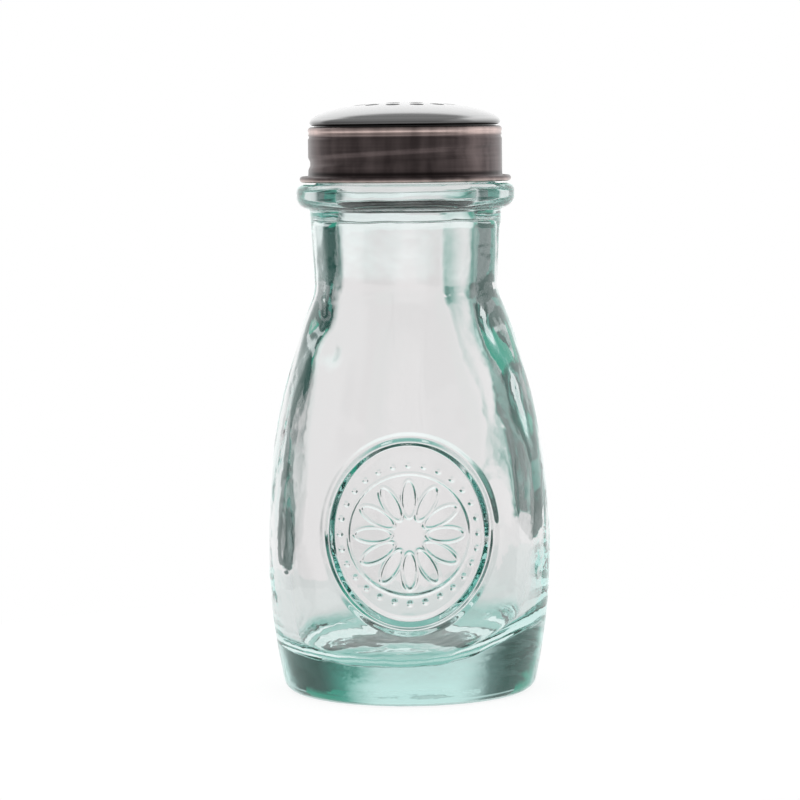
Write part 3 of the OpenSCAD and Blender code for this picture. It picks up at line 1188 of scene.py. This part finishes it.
@dataclass
class ScrewRing:
    """The pressed ring: curled hem, flared brim, skirt with a rolled thread, bead and lip."""

    skirt_r: float = 22.2
    skirt_z: float = 119.0
    skirt_steps: int = 32
    sheet: float = 0.5
    brim_r: float = 24.2
    brim_z: float = 117.0
    hem_r: float = 0.7
    hem_curl: Span = Span(-160.0, 75.0)
    flare_r: float = 1.3
    flare_start: float = 255.0
    under_end: float = 235.0
    groove_z: float = 126.7
    groove_h: float = 1.2
    groove_deep: float = 0.25
    groove_steps: int = 7
    top_z: float = 129.6
    top_round: float = 0.8
    top_start: float = -40.0
    lip_r: float = 21.0
    lip_cut: float = 0.1
    lip_bend: float = 0.3
    thread: Thread = Thread(
        lead=7.0, rise=-0.45, root_w=3.2, crest_w=0.6, low_z=120.2, start=128.0, turns=0.65
    )
    segments: int = 192
    sharp: float = 40.0

    def skirt(self, inset: float) -> list[Row]:
        """Work out one side of the skirt and the groove under the bead.

        Args:
            inset: Distance inside the outer side.

        Returns:
            Its rows, upwards.
        """
        r = self.skirt_r - inset
        plain = line((r, self.skirt_z), (r, self.groove_z), self.skirt_steps)
        rows = [Row(a, z, Zone.THREAD) for a, z in plain]
        for i in range(1, self.groove_steps):
            t = i / self.groove_steps
            deep = self.groove_deep * math.sin(math.pi * t) ** 2
            rows.append(Row(r - deep, self.groove_z + self.groove_h * t))
        return rows

    def build(self, finish: Material) -> Piece:
        """Make the ring's mesh.

        Args:
            finish: The lacquered steel.

        Returns:
            The ring.
        """
        inner_r = self.skirt_r - self.sheet
        hem = (self.brim_r - self.hem_r, self.brim_z + self.hem_r)
        curl = arc(hem, self.hem_r, self.hem_curl.low, self.hem_curl.high, steps=12)
        flare_at = (self.skirt_r + self.flare_r, self.skirt_z)
        flare = arc(flare_at, self.flare_r, self.flare_start, 180, steps=8)
        bead = (self.skirt_r - self.top_round, self.top_z - self.top_round)
        lip = arc(bead, self.top_round, self.top_start, 90, steps=12)
        cut, bend, low = self.lip_cut, self.lip_bend, self.top_z - self.sheet
        lip += [(self.lip_r + cut, self.top_z), (self.lip_r, self.top_z - cut)]
        lip += [(self.lip_r, low + cut), (self.lip_r + cut, low), (inner_r - bend, low)]
        lip += arc((inner_r - bend, low - bend), bend, 90, 0, steps=3)[1:]
        under_r = self.flare_r + self.sheet
        under = arc((inner_r + under_r, self.skirt_z), under_r, 180, self.under_end, steps=8)
        rows = [Row(r, z) for r, z in curl + flare] + self.skirt(0)
        rows += [Row(r, z) for r, z in lip] + self.skirt(self.sheet)[::-1]
        rows += [Row(r, z) for r, z in under]
        ring = Spin(rows, self.segments, 0, closed=True).piece("cap_ring", self.sharp)
        self.thread.roll(ring, finish)
        shade(ring, self.sharp)
        return ring

    def dress(self, finish: Material) -> Piece:
        """Build the ring and put it on its body.

        Args:
            finish: The lacquered steel.

        Returns:
            The ring.
        """
        ring = self.build(finish)
        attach(ring, "cap")
        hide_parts("screw_ring")
        return ring


@dataclass
class ShakerDome:
    """The pressed dome with its sprinkling holes and the flange under the ring's lip."""

    sheet: float = 0.5
    neck_r: float = 20.85
    flange_r: float = 21.55
    flange_z: float = 128.6
    crease_z: float = 129.9
    dome_r: float = 21.8
    curl_r: float = 0.7
    top_z: float = 135.1
    hole_d: float = 3.2
    hole_pitch: float = 5.2
    hole_rings: int = 2
    holes_in_first: int = 6
    punch_h: float = 6.0
    punch_below_top: float = 2.0
    segments: int = 192
    sharp: float = 40.0

    def side(self, inset: float) -> list[Row]:
        """Work out one side of the sheet.

        Args:
            inset: Distance inside the outer side.

        Returns:
            Its rows, from the flange up to the middle.
        """
        edge_z = self.crease_z + self.curl_r
        rise = self.top_z - edge_z - inset
        points = [(self.neck_r - inset, self.flange_z + self.sheet - inset)]
        points += line(points[0], (self.neck_r - inset, self.crease_z + inset), steps=3)
        points += arc((self.dome_r - self.curl_r, edge_z), self.curl_r - inset, -90, 0, steps=8)
        round_top = arc((0, 0), 1, 0, 90, steps=60)[1:]
        points += [((self.dome_r - inset) * c, edge_z + rise * s) for c, s in round_top]
        points[-1] = (0, self.top_z - inset)
        return [Row(r, z) for r, z in points]

    def build(self, finish: Material) -> Piece:
        """Make the dome's mesh.

        Args:
            finish: The satin steel.

        Returns:
            The dome.
        """
        flange = [Row(self.flange_r, self.flange_z), Row(self.flange_r, self.flange_z + self.sheet)]
        rows = flange + self.side(0) + self.side(self.sheet)[::-1]
        dome = Spin(rows, self.segments, 0, closed=True).piece("cap_dome", self.sharp)
        self.punch(dome, finish)
        shade(dome, self.sharp)
        return dome

    def punch(self, dome: Piece, finish: Material) -> None:
        """Punch the holes: one in the middle and circles of them round it.

        Args:
            dome: The dome.
            finish: Its material.
        """
        sizes = {
            "Hole radius": self.hole_d / 2 * MM,
            "Pitch": self.hole_pitch * MM,
            "Height": (self.top_z - self.punch_below_top) * MM,
            "Depth": self.punch_h * MM,
        }
        tree = Tree("punched_holes", sizes)
        size = tree.size
        rod = {"Vertices": 40, "Radius": size["Hole radius"], "Depth": size["Depth"]}
        punch = tree.out("GeometryNodeMeshCylinder", rod)
        cutters = []
        for circle in range(self.hole_rings + 1):
            count = max(self.holes_in_first * circle, 1)
            spots = tree.out("GeometryNodePoints", {"Count": count})
            phase = 0.5 if circle % 2 == 0 else 0.0
            index = tree.out("GeometryNodeInputIndex")
            step = tree.out(MATH, {0: index, 1: phase}, operation="ADD")
            angle = tree.out(MATH, {0: step, 1: TURN / count}, operation="MULTIPLY")
            reach = tree.out(MATH, {0: size["Pitch"], 1: float(circle)}, operation="MULTIPLY")
            arm = tree.out(COMBINE, {"X": reach, "Z": size["Height"]})
            swung = {"Vector": arm, "Angle": angle}
            place = tree.out("ShaderNodeVectorRotate", swung, rotation_type="Z_AXIS")
            moved = tree.out(MOVE, {"Geometry": spots, "Position": place})
            cutters.append(tree.out(SET_ON_POINTS, {"Points": moved, "Instance": punch}))
        solid = tree.out(REALIZE, {"Geometry": tree.out(JOIN, {"Geometry": cutters})})
        meshes = {"Mesh 1": size["Geometry"], "Mesh 2": solid}
        cut = tree.out("GeometryNodeMeshBoolean", meshes, operation="DIFFERENCE", solver="EXACT")
        tree.run(dome, cut, finish)

    def dress(self, finish: Material) -> Piece:
        """Build the dome and put it on its body.

        Args:
            finish: The satin steel.

        Returns:
            The dome.
        """
        dome = self.build(finish)
        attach(dome, "cap")
        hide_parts("shaker_dome")
        return dome


@dataclass
class SealRing:
    """The flat washer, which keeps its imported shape."""

    node: str = "seal_ring"

    def dress(self, nodes: dict[str, Piece], finish: Material) -> Piece:
        """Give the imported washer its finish.

        Args:
            nodes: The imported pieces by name.
            finish: The plastic.

        Returns:
            The washer.
        """
        seal = nodes[self.node]
        seal.data.materials.clear()
        seal.data.materials.append(finish)
        return seal


@dataclass(frozen=True)
class GlassRoom:
    """What shows through the glass: four white walls with dark corners, and a dark room above.

    Angles are counted from the middle of the nearest wall, to the right of it above 0. Heights are
    the upward part of the direction.
    """

    wall_low: str = "#f0e8e9"
    wall_high: str = "#fdfdfd"
    right_edge: str = "#62b0a2"
    left_edge: str = "#8f9c9b"
    dark: str = "#1a4a43"
    teal: str = "#1f9a82"
    edge_share: Span = Span(0.0, 0.6)
    dark_share: Span = Span(0.4, 1.0)
    half_wall: float = 45.0
    low_right: Span = Span(7.0, 18.0)
    low_left: Span = Span(-18.0, -31.0)
    high_right: Span = Span(8.0, 34.0)
    high_left: Span = Span(-13.0, -38.0)
    upper: Span = Span(0.0, 0.08)
    table: Span = Span(-0.105, -0.085)
    table_drop: float = 0.08
    table_turn: Span = Span(27.0, 32.0)
    band_start: Span = Span(-0.05, -0.02)
    band_end: Span = Span(0.03, 0.05)
    band_light: float = 0.4
    pale_start: Span = Span(0.19, 0.23)
    pale_end: Span = Span(0.28, 0.32)
    pale_light: float = 0.6
    teal_start: Span = Span(0.14, 0.2)
    sky: Span = Span(0.45, 0.7)

    def shares(self, nodes: Nodes, across: bpy.types.bpy_prop_collection) -> dict[str, Socket]:
        """Work out how far each direction is into each part of the room.

        Args:
            nodes: The world's nodes.
            across: The direction's three parts.

        Returns:
            The share of each part, by its name.
        """
        up = across["Z"]
        side = nodes.out(MATH, {0: across["X"], 1: across["Y"]}, operation="ARCTAN2")
        wall = {1: self.half_wall * DEGREE, 2: -self.half_wall * DEGREE}
        turn = nodes.out(MATH, {0: side, **wall}, operation="WRAP")
        away = nodes.out(MATH, {0: turn}, operation="ABSOLUTE")
        drop = nodes.out(RANGE, {"Value": away, **self.table_turn.reads(DEGREE), "To Max": self.table_drop})
        over = nodes.out(MATH, {0: up, 1: drop}, operation="ADD")
        parts = {
            "low right": (turn, self.low_right, DEGREE),
            "low left": (turn, self.low_left, DEGREE),
            "high right": (turn, self.high_right, DEGREE),
            "high left": (turn, self.high_left, DEGREE),
            "upper": (up, self.upper, 1.0),
            "table": (over, self.table, 1.0),
            "band start": (up, self.band_start, 1.0),
            "band end": (up, self.band_end, 1.0),
            "pale start": (up, self.pale_start, 1.0),
            "pale end": (up, self.pale_end, 1.0),
            "teal": (up, self.teal_start, 1.0),
            "sky": (up, self.sky, 1.0),
        }
        return {
            name: nodes.out(RANGE, {"Value": value, **span.reads(unit)}, interpolation_type="SMOOTHSTEP")
            for name, (value, span, unit) in parts.items()
        }

    def seen(self, nodes: Nodes, across: bpy.types.bpy_prop_collection) -> Socket:
        """Work out the light from each direction.

        Args:
            nodes: The world's nodes.
            across: The direction's three parts.

        Returns:
            The colour of the light.
        """
        share = self.shares(nodes, across)
        corners = []
        for side in ("right", "left"):
            levels = {"Factor": share["upper"], "A": share["low " + side], "B": share["high " + side]}
            corners.append(nodes.out(MIX, levels, "Result", data_type="FLOAT"))
        kept = []
        for strip, light in (("band", self.band_light), ("pale", self.pale_light)):
            ends = {0: share[strip + " start"], 1: share[strip + " end"]}
            within = nodes.out(MATH, ends, operation="SUBTRACT")
            kept.append(nodes.out(MATH, {0: within, 1: -light, 2: 1.0}, operation="MULTIPLY_ADD"))
        above = nodes.out(MATH, {0: share["table"], 1: kept[0]}, operation="MULTIPLY")
        left = nodes.out(MATH, {0: corners[1], 1: kept[1]}, operation="MULTIPLY")
        tones = []
        for part, low, high in (("upper", self.wall_low, self.wall_high), ("teal", self.dark, self.teal)):
            pair = {"Factor": share[part], "A": linear(low), "B": linear(high)}
            tones.append(nodes.out(MIX, pair, "Result", data_type="RGBA"))
        colour, right_dark = tones
        for side, reach, edge, full in (
            (corners[0], above, self.right_edge, right_dark),
            (left, above, self.left_edge, linear(self.dark)),
            (share["sky"], 1.0, self.left_edge, linear(self.dark)),
        ):
            depth = nodes.out(MATH, {0: side, 1: reach}, operation="MULTIPLY")
            filter_colour: Socket | Colour = WHITE
            for stop, span in ((linear(edge), self.edge_share), (full, self.dark_share)):
                part = nodes.out(RANGE, {"Value": depth, **span.reads()})
                pair = {"Factor": part, "A": filter_colour, "B": stop}
                filter_colour = nodes.out(MIX, pair, "Result", data_type="RGBA")
            both = {"Factor": 1.0, "A": colour, "B": filter_colour}
            colour = nodes.out(MIX, both, "Result", data_type="RGBA", blend_type="MULTIPLY")
        return colour


@dataclass(frozen=True)
class Wall:
    """A side of a room: the stretch over which it comes into view, and its level of light."""

    span: Span
    level: float


@dataclass(frozen=True)
class MetalRoom:
    """What shows in the metal: white walls, a white table, a grey ceiling and a grey room in front."""

    front: float = 0.37
    back_lean: float = 0.3
    right: Wall = Wall(Span(0.6, 0.95), 0.7)
    back: Wall = Wall(Span(0.1, 0.4), 1.25)
    ceiling: Wall = Wall(Span(0.66, 0.82), 0.33)
    table: Wall = Wall(Span(-0.15, -0.5), 0.9)

    def seen(self, nodes: Nodes, across: bpy.types.bpy_prop_collection) -> Socket:
        """Work out the light from each direction.

        Args:
            nodes: The world's nodes.
            across: The direction's three parts.

        Returns:
            The level of light.
        """
        leaning = {0: across["X"], 1: self.back_lean, 2: across["Y"]}
        behind = nodes.out(MATH, leaning, operation="MULTIPLY_ADD")
        level: Socket | float = self.front
        for value, wall in (
            (across["X"], self.right),
            (behind, self.back),
            (across["Z"], self.ceiling),
            (across["Z"], self.table),
        ):
            share = nodes.out(RANGE, {"Value": value, **wall.span.reads()}, interpolation_type="SMOOTHSTEP")
            levels = {"Factor": share, "A": level, "B": wall.level}
            level = nodes.out(MIX, levels, "Result", data_type="FLOAT")
        return level


@dataclass
class Studio:
    """White floor, soft light all round, and the camera at the photograph's angle."""

    lens: float = 150.9
    sensor: float = 36.0
    distance: float = 770.0
    camera_x: float = -1.75
    camera_z: float = 129.4
    tilt: float = 4.65
    roll: float = -0.6
    bounces: int = 32
    floor_r: float = 150.0
    light: float = 0.9

    def world(self) -> None:
        """Light the set: white all round, but glass and metal each show a room of their own."""
        world = bpy.data.worlds.new("studio")
        bpy.context.scene.world = world
        world.use_nodes = True
        nodes = Nodes(world.node_tree)
        across = nodes.add(SPLIT, {0: nodes.out("ShaderNodeTexCoord", pick="Generated")}).outputs
        path = nodes.add("ShaderNodeLightPath").outputs
        level: Socket | Colour = grey(self.light)
        for ray, seen in (
            ("Is Glossy Ray", MetalRoom().seen(nodes, across)),
            ("Is Transmission Ray", GlassRoom().seen(nodes, across)),
            ("Is Camera Ray", WHITE),
        ):
            level = nodes.out(MIX, {"Factor": path[ray], "A": level, "B": seen}, "Result", data_type="RGBA")
        lit = nodes.out("ShaderNodeBackground", {"Color": level, "Strength": 1.0})
        nodes.add("ShaderNodeOutputWorld", {"Surface": lit})

    def floor(self, finish: Material) -> None:
        """Lay a round floor.

        Args:
            finish: The paper.
        """
        edge = [(x * MM, y * MM, 0.0) for x, y in arc((0, 0), self.floor_r, 0, 360, steps=96)[:-1]]
        mesh = bpy.data.meshes.new("floor")
        mesh.from_pydata(edge, [], [tuple(range(len(edge)))])
        mesh.materials.append(finish)
        floor = bpy.data.objects.new("floor", mesh)
        bpy.context.scene.collection.objects.link(floor)

    def camera(self) -> None:
        """Set up the camera."""
        data = bpy.data.cameras.new("camera")
        data.lens = self.lens
        data.sensor_width = self.sensor
        camera = bpy.data.objects.new("camera", data)
        bpy.context.scene.collection.objects.link(camera)
        place = Matrix.Translation(Vector((self.camera_x, -self.distance, self.camera_z)) * MM)
        look = Matrix.Rotation(math.radians(90 - self.tilt), 4, "X")
        camera.matrix_world = place @ look @ Matrix.Rotation(math.radians(self.roll), 4, "Z")
        bpy.context.scene.camera = camera

    def build(self) -> None:
        """Set up the studio."""
        scene = bpy.context.scene
        scene.view_settings.view_transform = "Standard"
        scene.cycles.max_bounces = self.bounces
        scene.cycles.transmission_bounces = self.bounces
        scene.cycles.glossy_bounces = self.bounces
        self.world()
        self.floor(WhitePaper().make())
        self.camera()


def main() -> None:
    """Load the frame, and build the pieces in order."""
    logging.basicConfig(level=logging.INFO, format="%(message)s")
    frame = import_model()
    Studio().build()
    pieces = [
        GlassJar().dress(PressedGlass().make()),
        ScrewRing().dress(GunmetalLacquer().make()),
        ShakerDome().dress(SatinSteel().make()),
        SealRing().dress(frame["nodes"], Polyethylene().make()),
    ]
    for piece in pieces:
        log.info("%s: %d faces", piece.name, len(piece.data.polygons))


if __name__ == "__main__":
    main()
